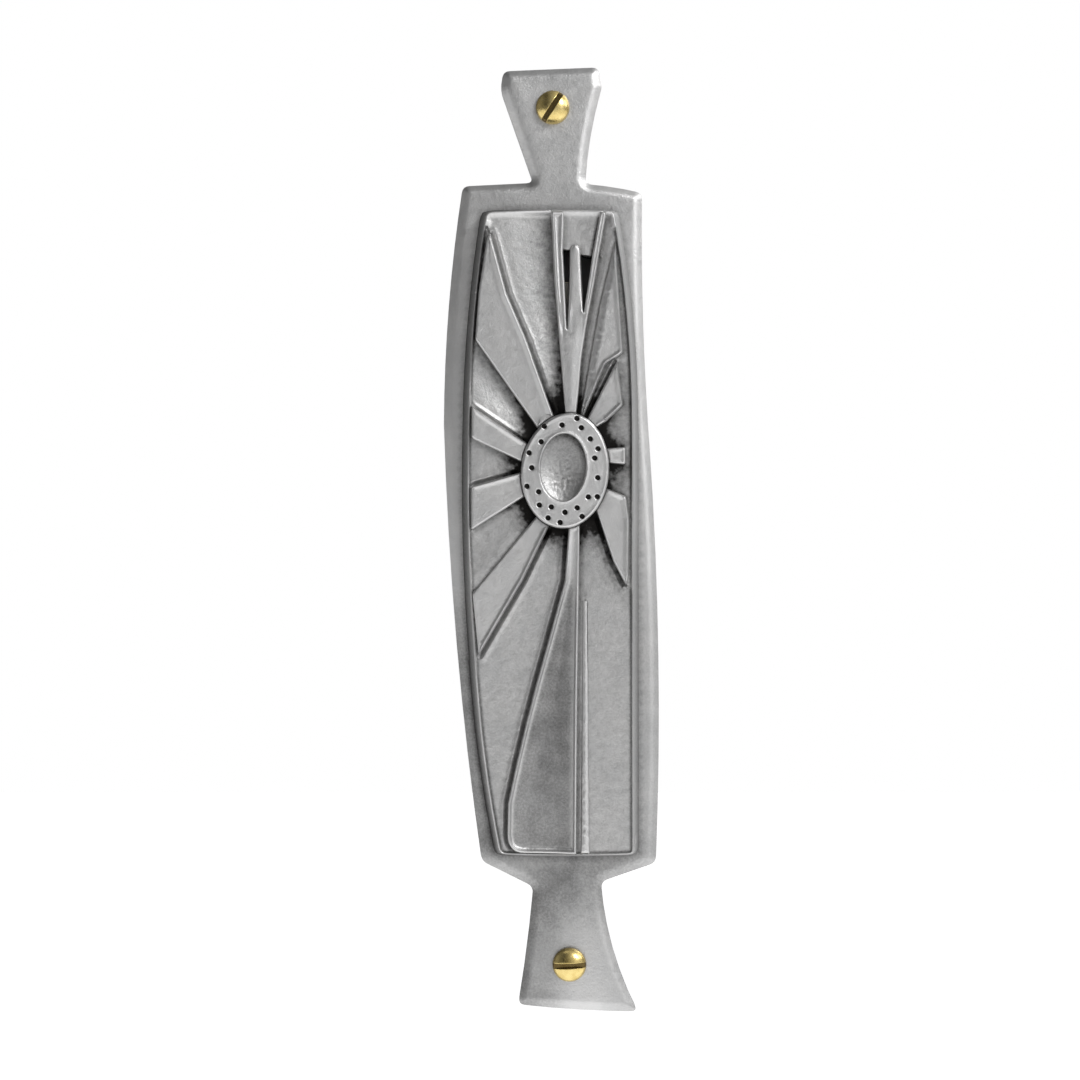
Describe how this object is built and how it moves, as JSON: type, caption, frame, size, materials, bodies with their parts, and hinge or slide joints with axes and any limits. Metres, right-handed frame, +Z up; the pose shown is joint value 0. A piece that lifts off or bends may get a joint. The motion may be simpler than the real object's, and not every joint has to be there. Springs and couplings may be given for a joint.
{
  "type": "mezuzah case",
  "caption": "Narrow cast metal case for a parchment roll, with a flared screw tab at each end and a raised sunburst face round an oval medallion.",
  "frame": {"origin": "midway between the two wall screws' axes, on the flat back face that lies on the doorpost", "axes": "+Z up along the case, +X to the right as seen from the front, +Y into the doorpost; the ornamented face looks along -Y"},
  "size_m": [0.0387, 0.0302, 0.17],
  "materials": {
    "cast_metal": "satin brushed casting with a darker patina in the recesses",
    "brass": "polished",
    "cover_sheet": "plain mill-finished sheet",
    "steel": "zinc plated",
    "parchment": "matt cream skin parchment",
    "clear_film": "clear plastic film"
  },
  "bodies": {
    "case": {"back_plate": "cast_metal", "case_walls": "cast_metal", "face_panel": "cast_metal", "fork_ray": "cast_metal", "upper_left_ray": "cast_metal", "left_upper_ray": "cast_metal", "left_lower_ray": "cast_metal", "lower_left_ray": "cast_metal", "lower_wedge_ray": "cast_metal", "lower_rib": "cast_metal", "lower_right_ray": "cast_metal", "right_bar": "cast_metal", "right_ray": "cast_metal", "upper_right_ray": "cast_metal", "medallion_ring": "cast_metal", "medallion_dish": "cast_metal"},
    "top_screw": {"top_screw": "brass"},
    "bottom_screw": {"bottom_screw": "brass"},
    "back_cover": {"back_cover": "cover_sheet"},
    "cover_screw_upper": {"cover_screw_upper": "steel"},
    "cover_screw_lower": {"cover_screw_lower": "steel"},
    "scroll": {"parchment_roll": "parchment", "clear_sleeve": "clear_film"}
  },
  "joints": [
    {"name": "top_screw_out", "type": "slide", "parent": "case", "child": "top_screw", "axis": [0, -1, 0], "range_m": [0, 0.025]},
    {"name": "bottom_screw_out", "type": "slide", "parent": "case", "child": "bottom_screw", "axis": [0, -1, 0], "range_m": [0, 0.025]},
    {"name": "cover_off", "type": "slide", "parent": "case", "child": "back_cover", "axis": [0, 1, 0], "range_m": [0, 0.03]},
    {"name": "cover_screw_upper_out", "type": "slide", "parent": "back_cover", "child": "cover_screw_upper", "axis": [0, 1, 0], "range_m": [0, 0.01]},
    {"name": "cover_screw_lower_out", "type": "slide", "parent": "back_cover", "child": "cover_screw_lower", "axis": [0, 1, 0], "range_m": [0, 0.01]},
    {"name": "scroll_out", "type": "slide", "parent": "case", "child": "scroll", "axis": [0, 1, 0], "range_m": [0, 0.018]}
  ],
  "couplings": [
    {"joint": "scroll_out", "follows": "cover_off", "ratio": 0.6}
  ]
}
